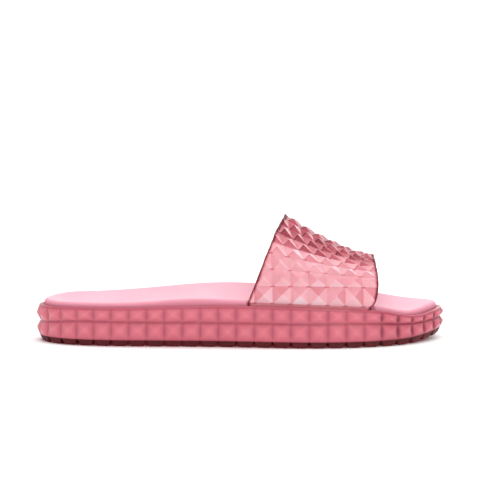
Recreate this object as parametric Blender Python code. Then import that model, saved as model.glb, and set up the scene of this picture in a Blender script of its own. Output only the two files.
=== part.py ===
"""Jelly slide sandal for a right foot, standing on its sole.

Three pieces: a moulded sole cup with rows of pyramid studs, a foam footbed in its recess, and one
studded strap whose plain margins are held between the two. The toe points to +X and the lateral
side of the foot is at -Y. The stud flats under the sole stand on Z = 0.
"""
import math

import bmesh
import bpy
import numpy as np
from mathutils.geometry import delaunay_2d_cdt

# Sole, measured at the feet of its side studs
SOLE_LENGTH = 0.2566
BALL_WIDTH = 0.0865
RIM_HEIGHT = 0.0260
TOE_SPRING = 0.0034
RIM_WIDTH = 0.0030
RIM_FLARE = 0.0008
RECESS_FLOOR = 0.0070

# Studs of the sole: two rows on the side, one under the edge and a field on the tread
# the columns at the toe are wider than the average one by a share
STUD_COLUMNS = 51
TOE_COLUMN_EXTRA = 0.03
UPPER_STUD_HEIGHT = 0.0020
LOWER_STUD_HEIGHT = 0.0019
EDGE_HEIGHT = 0.0042
EDGE_FLARE = 0.0007
EDGE_STUD_DEPTH = 0.0095
TREAD_DEPTH = 0.0028
TREAD_PITCH = 0.0116
TREAD_GROOVE = 0.0008
EDGE_STUD_FLAT = 0.60
TREAD_STUD_FLAT = 0.50

# Footbed
FOOTBED_PROUD = 0.0032
ARCH_RISE = 0.0050
EDGE_ROUND = 0.0026
FOOTBED_THICKNESS = 0.0140

# Strap, measured on the face that its studs stand on
STRAP_WALL = 0.0015
STRAP_STUD_HEIGHT = 0.0021
STRAP_REAR = 0.1325
STRAP_LENGTH = 0.0775
INSTEP_HEIGHT = 0.0536
INSTEP_FALL = 0.0282
INSTEP_SAG = 0.0026
REAR_LEAN = 0.0234
FRONT_BULGE = 0.0045
MEDIAL_REAR_SHIFT = 0.0046
MEDIAL_FRONT_SHIFT = 0.0025
STUD_ROWS = 14
FIRST_ROW = 0.0104
STRAP_FOOT = 0.0018
STRAP_TUCK = 0.0090
STRAP_FAN = 0.32

# Clearances between the pieces, and of a footbed notch past the ends of the strap's foot
FIT_GAP = 0.0003
TUCK_GAP = 0.0006
NOTCH_REAR = 0.0006
NOTCH_FRONT = 0.0030

# Plan outline from the heel round the lateral side to the toe and back
# along as a share of the sole length, across as a share of the ball width
OUTLINE = (
    (0.000, 0.000),
    (0.030, -0.190),
    (0.105, -0.315),
    (0.220, -0.368),
    (0.400, -0.392),
    (0.560, -0.447),
    (0.680, -0.482),
    (0.800, -0.432),
    (0.900, -0.290),
    (0.968, -0.075),
    (1.000, 0.150),
    (0.975, 0.320),
    (0.900, 0.440),
    (0.770, 0.510),
    (0.630, 0.470),
    (0.480, 0.385),
    (0.320, 0.345),
    (0.180, 0.352),
    (0.080, 0.290),
    (0.020, 0.155),
)

# Side of the sole: along, height of the rim, height of the valley between the two stud rows
# heights are shares of the rim height and leave out the toe spring
SIDE = (
    (0.00, 0.895, 0.50),
    (0.09, 0.925, 0.60),
    (0.23, 0.945, 0.60),
    (0.36, 0.985, 0.60),
    (0.50, 1.010, 0.60),
    (0.68, 0.980, 0.60),
    (0.78, 0.925, 0.60),
    (0.85, 0.860, 0.57),
    (0.93, 0.665, 0.48),
    (1.00, 0.640, 0.41),
)

# Footbed: along, height of its lateral and of its medial edge over the rim, height of its centre line
# the edges as shares of how proud the footbed is, the centre line of its thickness over the recess
FOOTBED = (
    (0.00, 1.00, 1.20, 1.15),
    (0.12, 0.90, 1.22, 1.03),
    (0.25, 1.00, 1.15, 1.08),
    (0.38, 1.40, 0.95, 1.22),
    (0.52, 1.00, 0.65, 1.20),
    (0.70, 0.85, 0.90, 1.02),
    (0.85, 0.85, 1.35, 0.90),
    (0.93, 0.95, 1.65, 0.84),
    (1.00, 1.10, 1.35, 0.82),
)

# Section of the strap from its lateral foot over the instep to its medial foot
# share across and share of the height, at the rear end and at the front end of the strap
SECTION = (
    (0.000, 0.00, 0.000, 0.00),
    (0.002, 0.21, 0.002, 0.30),
    (0.016, 0.41, 0.030, 0.59),
    (0.092, 0.56, 0.110, 0.75),
    (0.200, 0.68, 0.215, 0.85),
    (0.430, 0.89, 0.410, 0.96),
    (0.620, 1.00, 0.600, 1.00),
    (0.780, 0.93, 0.770, 0.94),
    (0.905, 0.75, 0.905, 0.78),
    (0.980, 0.45, 0.980, 0.50),
    (1.000, 0.00, 1.000, 0.00),
)


class Solid:
    """Vertices and faces of one closed solid, gathered step by step."""

    def __init__(self):
        self.points = np.empty((0, 3))
        self.faces = []

    def add(self, points):
        """Adds points and returns their indices."""
        first = len(self.points)
        self.points = np.vstack([self.points, points])
        return np.arange(first, len(self.points))

    def strip(self, lower, upper):
        """Joins two closed rings of equal count with triangles."""
        for a, b, c, d in zip(lower, np.roll(lower, -1), np.roll(upper, -1), upper):
            self.faces += [(a, b, c), (a, c, d)]

    def fan(self, loop, centre):
        """Joins a closed loop to one point."""
        self.faces += [(a, b, centre) for a, b in zip(loop, loop[1:] + loop[:1])]

    def fill(self, ring):
        """Closes a ring with triangles that lie across it in plan."""
        plan = [tuple(p[:2]) for p in self.points[ring]]
        count = len(plan)
        edges = [(k, (k + 1) % count) for k in range(count)]
        faces = delaunay_2d_cdt(plan, edges, [], 1, 1e-7)[2]
        self.faces += [tuple(ring[list(face)]) for face in faces]

    def build(self, name, material, shift):
        """Makes the mesh object, with all its faces turned outward."""
        mesh = bpy.data.meshes.new(name)
        mesh.from_pydata((self.points + shift).tolist(), [], [[int(v) for v in f] for f in self.faces])
        mesh.materials.append(material)
        work = bmesh.new()
        work.from_mesh(mesh)
        bmesh.ops.recalc_face_normals(work, faces=work.faces)
        work.to_mesh(mesh)
        work.free()
        piece = bpy.data.objects.new(name, mesh)
        bpy.context.collection.objects.link(piece)
        return piece


class Outline:
    """Closed smooth curve through the outline's points, measured by its arc length from the heel."""

    def __init__(self, points, samples=4000):
        count = len(points)
        step = np.linalg.norm(np.roll(points, -1, axis=0) - points, axis=1) ** 0.5
        slope = (np.roll(points, -1, axis=0) - points) / step[:, None]
        matrix = np.zeros((count, count))
        for k in range(count):
            matrix[k, k - 1] = step[k - 1]
            matrix[k, k] = 2 * (step[k - 1] + step[k])
            matrix[k, (k + 1) % count] = step[k]
        bend = np.linalg.solve(matrix, 6 * (slope - np.roll(slope, 1, axis=0)))
        at = np.linspace(0, step.sum(), samples, endpoint=False)
        start = np.concatenate([[0], np.cumsum(step)])
        k = np.searchsorted(start, at, side="right") - 1
        after = (k + 1) % count
        h, s = step[k][:, None], (at - start[k])[:, None]
        t = h - s
        self.curve = (
            (bend[k] * t**3 + bend[after] * s**3) / (6 * h)
            + (points[k] / h - bend[k] * h / 6) * t
            + (points[after] / h - bend[after] * h / 6) * s
        )
        closed = np.vstack([self.curve, self.curve[:1]])
        self.arc = np.concatenate([[0], np.cumsum(np.linalg.norm(np.diff(closed, axis=0), axis=1))])
        self.closed = closed
        self.length = self.arc[-1]
        ahead, behind = np.roll(closed[:-1], -1, axis=0), np.roll(closed[:-1], 1, axis=0)
        tangent = (ahead - behind) / np.linalg.norm(ahead - behind, axis=1)[:, None]
        normal = np.column_stack([tangent[:, 1], -tangent[:, 0]])
        self.normals = np.vstack([normal, normal[:1]])
        self.toe = int(np.argmax(self.curve[:, 0]))

    def at(self, arc, inset=0.0):
        """Plan points at the given arc lengths, moved inward by the inset."""
        arc = np.asarray(arc) % self.length
        x, y = (np.interp(arc, self.arc, self.closed[:, i]) for i in (0, 1))
        nx, ny = (np.interp(arc, self.arc, self.normals[:, i]) for i in (0, 1))
        size = np.hypot(nx, ny)
        return np.column_stack([x - inset * nx / size, y - inset * ny / size])

    def side(self, x, medial, inset=0.0):
        """Y of the inset outline and its arc length at X, on the lateral or the medial side."""
        picked = slice(self.toe, None) if medial else slice(0, self.toe + 1)
        inner = (self.closed - inset * self.normals)[picked]
        order = np.argsort(inner[:, 0])
        return (np.interp(x, inner[order, 0], inner[order, 1]),
                np.interp(x, inner[order, 0], self.arc[picked][order]))


def column(table, x, index):
    """Smooth value of one column of a table at X."""
    table = np.array(table)
    share = np.clip(np.asarray(x) / SOLE_LENGTH, 0.0, 1.0)
    at, value = table[:, 0], table[:, index]
    slope = np.gradient(value, at)
    k = np.clip(np.searchsorted(at, share, side="right") - 1, 0, len(at) - 2)
    h = at[k + 1] - at[k]
    t = (share - at[k]) / h
    return (
        value[k] * (1 + 2 * t) * (1 - t) ** 2
        + value[k + 1] * t**2 * (3 - 2 * t)
        + slope[k] * h * t * (1 - t) ** 2
        + slope[k + 1] * h * t**2 * (t - 1)
    )


def smooth(table, samples=24):
    """Columns of a table as smooth curves through its rows, all at the same even steps."""
    rows = np.array(table).T
    ends = np.column_stack([2 * rows[:, 0] - rows[:, 1], rows, 2 * rows[:, -1] - rows[:, -2]])
    t = np.arange(samples) / samples
    parts = []
    for k in range(rows.shape[1] - 1):
        a, b, c, d = (ends[:, k + n, None] for n in range(4))
        parts.append(b + t / 2 * (c - a + t * (2 * a - 5 * b + 4 * c - d + t * (3 * (b - c) + d - a))))
    return np.column_stack(parts + [rows[:, -1]])


def spring(x):
    """Rise of the underside towards the toe."""
    start = 0.87 * SOLE_LENGTH
    return TOE_SPRING * np.clip((x - start) / (SOLE_LENGTH - start), 0.0, 1.1) ** 2


def inward(plan):
    """Share by which plan points lie on the medial side, from none to one."""
    share = np.clip(0.5 + plan[:, 1] / (0.60 * BALL_WIDTH), 0.0, 1.0)
    return share**2 * (3 - 2 * share)


def arch(plan):
    """Share of the arch's rise at plan points: one in the middle of the medial side."""
    return inward(plan) * np.exp(-(((plan[:, 0] / SOLE_LENGTH - 0.46) / 0.20) ** 2))


def rim_height(plan):
    """Height of the sole's rim at plan points."""
    x = plan[:, 0]
    return RIM_HEIGHT * column(SIDE, x, 1) + spring(x) + 0.5 * ARCH_RISE * arch(plan)


def valley_height(plan):
    """Height of the valley between the two rows of side studs at plan points."""
    x = plan[:, 0]
    return RIM_HEIGHT * column(SIDE, x, 2) + spring(x) + 0.2 * ARCH_RISE * arch(plan)


def lifted(plan, height):
    """Plan points with their heights as third column."""
    return np.column_stack([plan, np.broadcast_to(height, len(plan))])


def make_sole(outline, arcs):
    """Cup with two rows of side studs, a row of edge studs, a tread field and the footbed's recess.

    Every ring has two points for each stud column: one on the line between two columns and one in
    the middle of the column.
    """
    solid = Solid()
    feet = outline.at(arcs)
    inner = outline.at(arcs, RIM_WIDTH - RIM_FLARE)
    flared = outline.at(arcs, -RIM_FLARE)
    edge = outline.at(arcs, -EDGE_FLARE)
    tread = outline.at(arcs, EDGE_STUD_DEPTH)
    rings = {
        "tread": solid.add(lifted(tread, TREAD_DEPTH + spring(tread[:, 0]))),
        "edge": solid.add(lifted(edge, EDGE_HEIGHT + spring(edge[:, 0]))),
        "valley": solid.add(lifted(feet, valley_height(feet))),
        "rim": solid.add(lifted(flared, rim_height(feet))),
        "lip": solid.add(lifted(inner, rim_height(feet))),
        "floor": solid.add(lifted(inner, RECESS_FLOOR + spring(inner[:, 0]))),
    }
    side_studs(solid, outline, arcs, rings["edge"], rings["valley"], LOWER_STUD_HEIGHT)
    side_studs(solid, outline, arcs, rings["valley"], rings["rim"], UPPER_STUD_HEIGHT)
    edge_studs(solid, outline, arcs, rings["edge"], rings["tread"])
    solid.strip(rings["rim"], rings["lip"])
    solid.strip(rings["lip"], rings["floor"])
    solid.fill(rings["floor"])
    tread_field(solid, rings["tread"])
    return solid


def side_studs(solid, outline, arcs, lower, upper, height):
    """One row of four-sided pyramids between two rings."""
    middle = (solid.points[lower] + solid.points[upper]) / 2
    out = outline.at(arcs, -1.0) - outline.at(arcs)
    tips = solid.add((middle + height * np.column_stack([out, np.zeros(len(out))]))[1::2])
    count = len(lower)
    for k, tip in enumerate(tips):
        a, b, c = 2 * k, 2 * k + 1, (2 * k + 2) % count
        solid.fan([lower[a], lower[b], lower[c], upper[c], upper[b], upper[a]], tip)


def edge_studs(solid, outline, arcs, edge, tread):
    """Row of truncated pyramids under the edge, whose flats stand on the floor."""
    step = np.diff(np.append(arcs, arcs[0] + outline.length))
    start, width = arcs[0::2], step[0::2] + step[1::2]
    shares = 0.5 + EDGE_STUD_FLAT / 2 * np.array([-1.0, 1.0])
    flats = []
    for inset in (0.20 * EDGE_STUD_DEPTH, 0.70 * EDGE_STUD_DEPTH):
        for share in shares:
            plan = outline.at(start + share * width, inset)
            flats.append(solid.add(lifted(plan, spring(plan[:, 0]))))
    count = len(edge)
    for k, (outer_a, outer_b, inner_a, inner_b) in enumerate(zip(*flats)):
        a, b, c = 2 * k, 2 * k + 1, (2 * k + 2) % count
        for ring, near, far in ((edge, outer_a, outer_b), (tread, inner_a, inner_b)):
            solid.faces += [(ring[a], ring[b], near), (ring[b], far, near), (ring[b], ring[c], far)]
        for end, near, far in ((a, outer_a, inner_a), (c, outer_b, inner_b)):
            solid.faces += [(edge[end], near, far), (edge[end], far, tread[end])]
        solid.faces += [(outer_a, outer_b, inner_b), (outer_a, inner_b, inner_a)]


def tread_studs(plan):
    """Rectangles of the tread's studs: columns across the foot, each shared out over its width."""
    low, high = plan[:, 0].min() + TREAD_GROOVE, plan[:, 0].max() - TREAD_GROOVE
    columns = int((high - low) / TREAD_PITCH)
    pitch = (high - low) / columns
    turn = int(np.argmax(plan[:, 0]))
    lateral, medial = plan[: turn + 1], plan[turn:][::-1]
    studs = []
    for k in range(columns):
        x = low + k * pitch, low + (k + 1) * pitch - TREAD_GROOVE
        start = max(np.interp(x, lateral[:, 0], lateral[:, 1])) + TREAD_GROOVE
        end = min(np.interp(x, medial[:, 0], medial[:, 1])) - TREAD_GROOVE
        count = round((end - start) / TREAD_PITCH)
        for n in range(count):
            y = start + (end - start) / count * np.array([n, n + 1])
            studs.append((x[0], x[1], y[0] + TREAD_GROOVE / 2, y[1] - TREAD_GROOVE / 2))
    return np.array(studs)


def tread_field(solid, ring):
    """Underside within the edge studs: truncated pyramids with narrow grooves between them."""
    plan = solid.points[ring][:, :2]
    studs = tread_studs(plan)
    corners = studs[:, [[0, 2], [1, 2], [1, 3], [0, 3]]]
    base = corners.reshape(-1, 2)
    nodes = np.concatenate([ring, solid.add(lifted(base, TREAD_DEPTH + spring(base[:, 0])))])
    count = len(plan)
    edges = [(k, (k + 1) % count) for k in range(count)]
    for first in range(count, len(nodes), 4):
        edges += [(first + k, first + (k + 1) % 4) for k in range(4)]
    coordinates = solid.points[nodes][:, :2]
    faces = delaunay_2d_cdt([tuple(p) for p in coordinates], edges, [], 1, 1e-7)[2]
    for face in faces:
        x, y = coordinates[list(face)].mean(axis=0)
        held = (studs[:, 0] < x) & (x < studs[:, 1]) & (studs[:, 2] < y) & (y < studs[:, 3])
        if not held.any():
            solid.faces.append(tuple(nodes[list(face)]))
    middle = corners.mean(axis=1, keepdims=True)
    flats = (middle + TREAD_STUD_FLAT * (corners - middle)).reshape(-1, 2)
    tops = solid.add(lifted(flats, spring(flats[:, 0]))).reshape(-1, 4)
    for foot, top in zip(nodes[count:].reshape(-1, 4), tops):
        for k in range(4):
            solid.faces += [(foot[k - 1], foot[k], top[k]), (foot[k - 1], top[k], top[k - 1])]
        solid.faces += [(top[0], top[1], top[2]), (top[0], top[2], top[3])]


def strap_foot(medial):
    """X of the rear and the front of one foot of the strap."""
    rear, front = STRAP_REAR, STRAP_REAR + STRAP_LENGTH
    if medial:
        return rear + MEDIAL_REAR_SHIFT, front + MEDIAL_FRONT_SHIFT
    return rear, front


def make_footbed(outline, arcs):
    """Foam bed with a heel cup, an arch and a rounded edge, with a notch for each strap foot."""
    step = 0.0004
    notches = []
    ends = []
    for medial in (False, True):
        rear, front = strap_foot(medial)
        limits_x = np.array([rear - NOTCH_REAR, front + NOTCH_FRONT])
        first, last = sorted(outline.side(limits_x, medial, RIM_WIDTH + STRAP_WALL)[1])
        notches.append((first, last))
        ends += [first - step, first, last, last + step]
    regular = [s for s in arcs if min(abs(s - end) for end in ends) > 2 * step]
    arcs = np.sort(np.array(regular + ends))
    inset = np.full(len(arcs), RIM_WIDTH - RIM_FLARE + FIT_GAP)
    for first, last in notches:
        held = (arcs > first - step / 2) & (arcs < last + step / 2)
        inset[held] += STRAP_WALL + TUCK_GAP
    edge_plan = outline.at(arcs)
    x = edge_plan[:, 0]
    proud = column(FOOTBED, x, 1) + inward(edge_plan) * (column(FOOTBED, x, 2) - column(FOOTBED, x, 1))
    edge = rim_height(edge_plan) + FOOTBED_PROUD * proud + 0.5 * ARCH_RISE * arch(edge_plan)
    solid = Solid()
    side = moved(outline, arcs, inset)
    rings = [solid.add(lifted(side, RECESS_FLOOR + FIT_GAP + spring(side[:, 0])))]
    for angle in np.radians([0, 30, 60, 90]):
        plan = moved(outline, arcs, inset + EDGE_ROUND * (1 - math.cos(angle)))
        rings.append(solid.add(lifted(plan, edge - EDGE_ROUND * (1 - math.sin(angle)))))
    spine_x = np.clip(plan[:, 0], 0.13 * SOLE_LENGTH, 0.85 * SOLE_LENGTH)
    spine_y = (outline.side(spine_x, False)[0] + outline.side(spine_x, True)[0]) / 2
    spine = np.column_stack([spine_x, spine_y])
    for share in (0.90, 0.76, 0.58, 0.36, 0.14):
        place = spine + share * (plan - spine)
        centre = RECESS_FLOOR + spring(place[:, 0]) + FOOTBED_THICKNESS * column(FOOTBED, place[:, 0], 3)
        rings.append(solid.add(lifted(place, centre + (edge - centre) * share**2.4)))
    for lower, upper in zip(rings, rings[1:]):
        solid.strip(lower, upper)
    solid.fill(rings[0])
    solid.fill(rings[-1])
    return solid


def moved(outline, arcs, inset):
    """Plan points with an inset of their own each."""
    feet = outline.at(arcs)
    return feet + inset[:, None] * (outline.at(arcs, 1.0) - feet)


class StrapForm:
    """Face that the strap's studs stand on, as a surface of place along the foot and row.

    Row 0 starts at the lateral rim and the last row ends at the medial rim. Rows below 0 and above
    the last are the plain margins that go down into the sole. The sections across the foot pass
    from the rear one to the front one, and the rows share out their length.
    """

    def __init__(self, outline, lines):
        self.outline = outline
        self.inset = RIM_WIDTH - RIM_FLARE + FIT_GAP
        first, last = (np.searchsorted(lines, x) for x in strap_foot(False))
        self.shape = smooth(SECTION)
        self.pitch = (lines[last] - lines[first]) / (last - first)
        self.start = lines[first]

    def feet(self, x):
        """Y and Z of the strap's lateral and medial foot at X."""
        found = []
        for medial in (False, True):
            y = self.outline.side(x, medial, self.inset)[0]
            found.append((y, rim_height(np.column_stack([x, y])) + STRAP_FOOT))
        return found

    def ridge(self, x):
        """Height of the strap's highest line at X, which falls and sags towards the toe."""
        share = (x - STRAP_REAR - REAR_LEAN) / (STRAP_LENGTH - REAR_LEAN)
        return RIM_HEIGHT + INSTEP_HEIGHT - INSTEP_FALL * share - 4 * INSTEP_SAG * share * (1 - share)

    def point(self, x, row):
        """Points of the surface for arrays of X and row."""
        (low_y, low_z), (high_y, high_z) = self.feet(x)
        ridge = self.ridge(x)
        end = np.clip((x - STRAP_REAR - REAR_LEAN) / (STRAP_LENGTH - REAR_LEAN), 0, 1)[:, None]
        across = self.shape[0] + (self.shape[2] - self.shape[0]) * end
        up = self.shape[1] + (self.shape[3] - self.shape[1]) * end
        y = low_y[:, None] + (high_y - low_y)[:, None] * across
        foot = low_z[:, None] + (high_z - low_z)[:, None] * across
        z = foot + (ridge[:, None] - foot) * up
        arc = np.hypot(np.diff(y, axis=1), np.diff(z, axis=1)).cumsum(axis=1)
        arc = np.hstack([np.zeros((len(x), 1)), arc])
        total = arc[:, -1]
        part = FIRST_ROW + (total - 2 * FIRST_ROW) * (row - 1) / (STUD_ROWS - 2)
        part = np.where(row < 1, FIRST_ROW * row, part)
        part = np.where(row > STUD_ROWS - 1, total - FIRST_ROW * (STUD_ROWS - row), part)
        found = np.empty((len(x), 3))
        for k in range(len(x)):
            along = np.clip(part[k], 0, total[k])
            found[k] = x[k], np.interp(along, arc[k], y[k]), np.interp(along, arc[k], z[k])
        found[:, 2] -= STRAP_TUCK * (np.clip(-row, 0, 1) + np.clip(row - STUD_ROWS, 0, 1))
        return found

    def fan(self, row):
        """Share by which the columns have closed up at a row."""
        return STRAP_FAN * np.sin(math.pi * np.clip(row / STUD_ROWS, 0, 1)) ** 3

    def x(self, place, row):
        """X of a place given in stud columns, at a row."""
        base = self.start + place * self.pitch
        return STRAP_REAR + (base - STRAP_REAR) * (1 - self.fan(row))

    def place(self, x, row):
        """Place in stud columns of X, at a row."""
        base = STRAP_REAR + (x - STRAP_REAR) / (1 - self.fan(row))
        return (base - self.start) / self.pitch

    def ends(self, row):
        """X of the trimmed rear and front edges at a row."""
        turn = (1 - np.cos(math.pi * np.clip(row / STUD_ROWS, 0, 1))) / 2
        rear = STRAP_REAR + MEDIAL_REAR_SHIFT * turn
        front = STRAP_REAR + STRAP_LENGTH + MEDIAL_FRONT_SHIFT * turn
        rise = self.rise(STRAP_REAR + STRAP_LENGTH, row)
        rear += REAR_LEAN * self.rise(STRAP_REAR + REAR_LEAN / 2, row)
        return rear, front + FRONT_BULGE * (4 * rise * (1 - rise)) ** 0.55

    def rise(self, x, row):
        """Share of the way up from the rim to the ridge, at a row of the section at X."""
        row = np.clip(row, 0, STUD_ROWS)
        x = np.full(len(row), x)
        foot = self.point(x, np.where(row < STUD_ROWS / 2, 0.0, STUD_ROWS))[:, 2]
        return np.clip((self.point(x, row)[:, 2] - foot) / (self.ridge(x) - foot), 0.0, 1.0)

    def surface(self, place, row, lift):
        """Points over the surface by the lift, for arrays of place and row."""
        step = 0.02
        x = self.x(place, row)
        flat = np.clip(row, step, STUD_ROWS - step)
        across = self.point(x, flat + step) - self.point(x, flat - step)
        normal = np.column_stack([np.zeros(len(x)), -across[:, 2], across[:, 1]])
        normal /= np.linalg.norm(normal, axis=1)[:, None]
        return self.point(x, row) + np.reshape(lift, (-1, 1)) * normal


def make_strap(outline, lines):
    """Band over the foot: one wall with pyramid studs outside, trimmed through them at both ends."""
    form = StrapForm(outline, lines)
    rows = np.arange(-1, STUD_ROWS + 1.1, 0.5)
    rear_x, front_x = form.ends(rows)
    rear = np.column_stack([form.place(rear_x, rows), rows])
    front = np.column_stack([form.place(front_x, rows), rows])
    border = np.vstack([rear, front[::-1]])
    low, high = math.floor(border[:, 0].min()) - 1, math.ceil(border[:, 0].max()) + 1
    lines = stud_lines(low, high)
    points = [tuple(p) for p in border] + [end for line in lines for end in line]
    count = len(border)
    edges = [(k, (k + 1) % count) for k in range(count)]
    edges += [(count + 2 * k, count + 2 * k + 1) for k in range(len(lines))]
    verts, _, faces, _, _, _ = delaunay_2d_cdt(points, edges, [], 0, 0.004)
    flat = np.array([v[:] for v in verts])
    kept = [face for face in faces if within(flat[list(face)].mean(axis=0), border)]
    used = sorted({v for face in kept for v in face})
    number = {v: n for n, v in enumerate(used)}
    place, row = flat[used].T
    gap = np.abs(place - np.round(place)), np.abs(row - np.round(row))
    lift = STRAP_STUD_HEIGHT * 2 * np.minimum(*gap) * ((row >= 0) & (row <= STUD_ROWS))
    solid = Solid()
    outer = solid.add(form.surface(place, row, lift))
    inner = solid.add(form.surface(place, row, np.full(len(row), -STRAP_WALL)))
    counted = {}
    for face in kept:
        loop = [number[v] for v in face]
        solid.faces.append(tuple(outer[loop]))
        solid.faces.append(tuple(inner[loop[::-1]]))
        for a, b in zip(loop, loop[1:] + loop[:1]):
            counted[(a, b)] = True
    for a, b in counted:
        if (b, a) not in counted:
            solid.faces += [(outer[b], outer[a], inner[a]), (outer[b], inner[a], inner[b])]
    return solid


def stud_lines(low, high):
    """Ends of the lines between the studs and of the diagonals over them, as pairs of place and row."""
    top = STUD_ROWS + 1
    lines = [((low, row), (high, row)) for row in [-0.5, *range(top), STUD_ROWS + 0.5]]
    lines += [((place, -1.0), (place, top)) for place in range(low, high + 1)]
    for place in range(low, high):
        for row in range(STUD_ROWS):
            lines.append(((place, row), (place + 1, row + 1)))
            lines.append(((place, row + 1), (place + 1, row)))
    return lines


def within(middle, border):
    """True where a flat place lies between the strap's trimmed edges."""
    half = len(border) // 2
    rear = np.interp(middle[1], border[:half, 1], border[:half, 0])
    front = np.interp(middle[1], border[half:, 1][::-1], border[half:, 0][::-1])
    return rear < middle[0] < front and -1 < middle[1] < STUD_ROWS + 1


def make_material(name, colour, roughness):
    """Plain plastic of one colour."""
    material = bpy.data.materials.new(name)
    material.use_nodes = True
    shader = material.node_tree.nodes["Principled BSDF"]
    shader.inputs["Base Color"].default_value = (*colour, 1.0)
    shader.inputs["Roughness"].default_value = roughness
    shader.inputs["Metallic"].default_value = 0.0
    material.diffuse_color = (*colour, 1.0)
    return material


def main():
    for item in list(bpy.data.objects):
        bpy.data.objects.remove(item, do_unlink=True)
    outline = Outline(np.array(OUTLINE) * [SOLE_LENGTH, BALL_WIDTH])
    turn = (np.arange(2 * STUD_COLUMNS) + 1) / (2 * STUD_COLUMNS)
    arcs = outline.length * (turn - TOE_COLUMN_EXTRA / (2 * math.pi) * np.sin(2 * math.pi * turn))
    lines = outline.at(arcs[:STUD_COLUMNS:2])[:, 0]
    solids = {
        "sole": make_sole(outline, arcs),
        "footbed": make_footbed(outline, arcs),
        "strap": make_strap(outline, lines),
    }
    materials = {
        "sole": make_material("sole_jelly", (0.66, 0.15, 0.20), 0.18),
        "footbed": make_material("footbed_foam", (0.94, 0.62, 0.70), 0.75),
        "strap": make_material("strap_jelly", (0.86, 0.34, 0.38), 0.15),
    }
    points = np.vstack([solid.points for solid in solids.values()])
    low, high = points.min(axis=0), points.max(axis=0)
    shift = np.array([-(low[0] + high[0]) / 2, -(low[1] + high[1]) / 2, -low[2]])
    for name, solid in solids.items():
        solid.build(name, materials[name], shift)


main()
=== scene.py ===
"""Jelly slide sandal for a right foot: a studded rose sole cup, a foam footbed and one studded strap."""
import math

import bmesh
import bpy
import numpy as np
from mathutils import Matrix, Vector


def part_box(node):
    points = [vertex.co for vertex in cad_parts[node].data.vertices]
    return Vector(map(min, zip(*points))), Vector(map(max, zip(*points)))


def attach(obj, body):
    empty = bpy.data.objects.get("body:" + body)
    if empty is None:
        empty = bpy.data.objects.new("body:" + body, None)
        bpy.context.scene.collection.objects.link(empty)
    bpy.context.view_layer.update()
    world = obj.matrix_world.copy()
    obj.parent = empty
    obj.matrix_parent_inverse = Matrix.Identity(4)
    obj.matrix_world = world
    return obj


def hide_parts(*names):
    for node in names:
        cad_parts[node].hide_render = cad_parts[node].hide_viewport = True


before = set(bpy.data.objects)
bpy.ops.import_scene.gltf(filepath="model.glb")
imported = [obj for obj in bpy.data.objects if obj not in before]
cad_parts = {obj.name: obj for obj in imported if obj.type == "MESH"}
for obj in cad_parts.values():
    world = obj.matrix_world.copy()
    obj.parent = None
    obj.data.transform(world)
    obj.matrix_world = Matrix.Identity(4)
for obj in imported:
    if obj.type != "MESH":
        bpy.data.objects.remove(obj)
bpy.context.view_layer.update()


# Sole
# The sole is a cup of soft clear PVC, injection moulded in one shot. Its side carries two rows of
# four-sided pyramids, a third row turns under the edge, and the tread is a field of blunt ones.
SOLE_LENGTH = 0.2566
BALL_WIDTH = 0.0865
CENTRE_OFFSET = -0.00118
RIM_HEIGHT = 0.0260
TOE_SPRING = 0.0034
SPRING_START = 0.87
RIM_WIDTH = 0.0030
RIM_FLARE = 0.0008
RIM_ROUND = 0.0007
RECESS_FLOOR = 0.0070
ARCH_RISE = 0.0050
ARCH_PLACE = 0.46
ARCH_SPREAD = 0.20
RIM_ARCH = 0.5
VALLEY_ARCH = 0.2
FIT_GAP = 0.0003
STUD_COLUMNS = 51
TOE_COLUMN_EXTRA = 0.03
UPPER_STUD_HEIGHT = 0.0022
LOWER_STUD_HEIGHT = 0.0021
EDGE_HEIGHT = 0.0042
EDGE_FLARE = 0.0007
EDGE_STUD_DEPTH = 0.0095
EDGE_STUD_SLOPE = 0.2
EDGE_STUD_OUTER_SLOPE = 0.3
TREAD_DEPTH = 0.0028
TREAD_PITCH = 0.0116
TREAD_GROOVE = 0.0008

# Along as a share of the sole's length and across as a share of its width at the ball, once round
# from the heel by the lateral side
OUTLINE = (
    (0.000, 0.000), (0.030, -0.190), (0.105, -0.315), (0.220, -0.368), (0.400, -0.392),
    (0.560, -0.447), (0.680, -0.482), (0.800, -0.432), (0.900, -0.290), (0.968, -0.075),
    (1.000, 0.150), (0.975, 0.320), (0.900, 0.440), (0.770, 0.510), (0.630, 0.470),
    (0.480, 0.385), (0.320, 0.345), (0.180, 0.352), (0.080, 0.290), (0.020, 0.155),
)

# Along, height of the rim and of the valley between the stud rows as shares of the rim height
SIDE = (
    (0.00, 0.895, 0.50), (0.09, 0.925, 0.60), (0.23, 0.945, 0.60), (0.36, 0.985, 0.60),
    (0.50, 1.010, 0.60), (0.68, 0.980, 0.60), (0.78, 0.925, 0.60), (0.85, 0.860, 0.57),
    (0.93, 0.665, 0.48), (1.00, 0.640, 0.41),
)


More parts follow.
